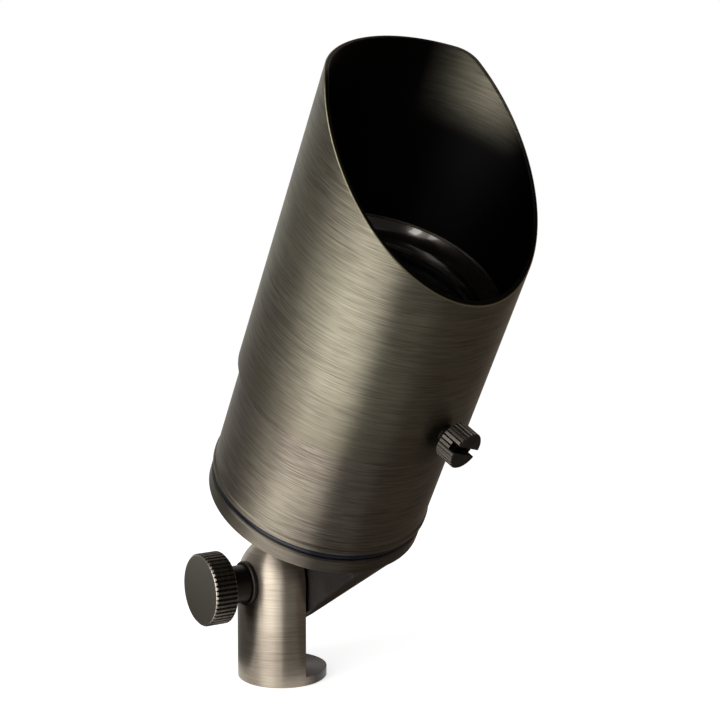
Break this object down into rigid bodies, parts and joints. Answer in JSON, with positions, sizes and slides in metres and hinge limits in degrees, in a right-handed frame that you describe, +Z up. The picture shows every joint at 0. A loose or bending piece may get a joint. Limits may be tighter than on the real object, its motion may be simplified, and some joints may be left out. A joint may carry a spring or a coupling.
{
  "type": "landscape spotlight",
  "caption": "Aged-brass landscape spotlight: round head with a sliding slant-cut glare shroud on a half-lap tilt joint with a knurled clamp knob.",
  "frame": {"origin": "centre of the stem's round foot, on its bottom face", "axes": "+Z up along the stem; the tilt axis lies along X with the clamp knob at -X; the head leans towards -Y"},
  "size_m": [0.0635, 0.1002, 0.1799],
  "materials": {
    "shroud_brass": "aged, brushed round",
    "barrel_brass": "aged, brushed round",
    "stem_brass": "aged, brushed round",
    "dark_brass": "dark aged, satin",
    "steel": "satin",
    "rubber": "smooth",
    "glass": "polished",
    "lens_ring_black": "gloss",
    "lamp_black": "satin black",
    "optic": "clear",
    "ceramic": "unglazed ceramic"
  },
  "bodies": {
    "stem": {"stem": "stem_brass"},
    "washer": {"knob_washer": "dark_brass"},
    "knob": {"tilt_knob": "dark_brass", "knob_stud": "steel"},
    "cap": {"base_cap": "barrel_brass", "cable_gland": "dark_brass", "gland_locknut": "steel", "gland_seal": "rubber", "gland_nut": "dark_brass", "socket_bracket": "steel", "bracket_screws": "steel", "lamp_socket": "ceramic", "socket_screws": "steel", "leads": "rubber", "lamp_base": "lamp_black", "lamp_pins": "steel", "lamp_body": "lamp_black", "lamp_optic": "optic"},
    "seal": {"barrel_o_ring": "rubber"},
    "barrel": {"barrel": "barrel_brass", "lens_gasket": "rubber", "lens": "glass", "lens_ring": "lens_ring_black"},
    "shroud": {"shroud": "shroud_brass"},
    "thumb_screw": {"thumb_screw": "dark_brass"}
  },
  "joints": [
    {"name": "head_tilt", "type": "hinge", "parent": "stem", "child": "cap", "pos_m": [0, 0, 0.0288], "axis": [1, 0, 0], "range_deg": [-120, 60]},
    {"name": "knob_back_off", "type": "slide", "parent": "stem", "child": "washer", "axis": [-1, 0, 0], "range_m": [0, 0.0025]},
    {"name": "knob_turn", "type": "hinge", "parent": "washer", "child": "knob", "pos_m": [-0.02, 0, 0.0288], "axis": [-1, 0, 0], "range_deg": [0, 720]},
    {"name": "barrel_rise", "type": "slide", "parent": "cap", "child": "seal", "axis": [0, -0.5, 0.866], "range_m": [0, 0.0045]},
    {"name": "barrel_turn", "type": "hinge", "parent": "seal", "child": "barrel", "pos_m": [0.002, -0.02, 0.06344], "axis": [0, -0.5, 0.866], "range_deg": [0, 1080]},
    {"name": "shroud_slide", "type": "slide", "parent": "barrel", "child": "shroud", "axis": [0, -0.5, 0.866], "range_m": [-0.03, 0.025]},
    {"name": "thumb_screw_turn", "type": "hinge", "parent": "shroud", "child": "thumb_screw", "pos_m": [0.01059, -0.06868, 0.07887], "axis": [0.2419, -0.8403, -0.4851], "range_deg": [0, 720]}
  ],
  "couplings": [
    {"joint": "knob_turn", "follows": "knob_back_off", "rad_per_m": 5026.5},
    {"joint": "barrel_rise", "follows": "barrel_turn", "m_per_rad": 0.00023873}
  ]
}
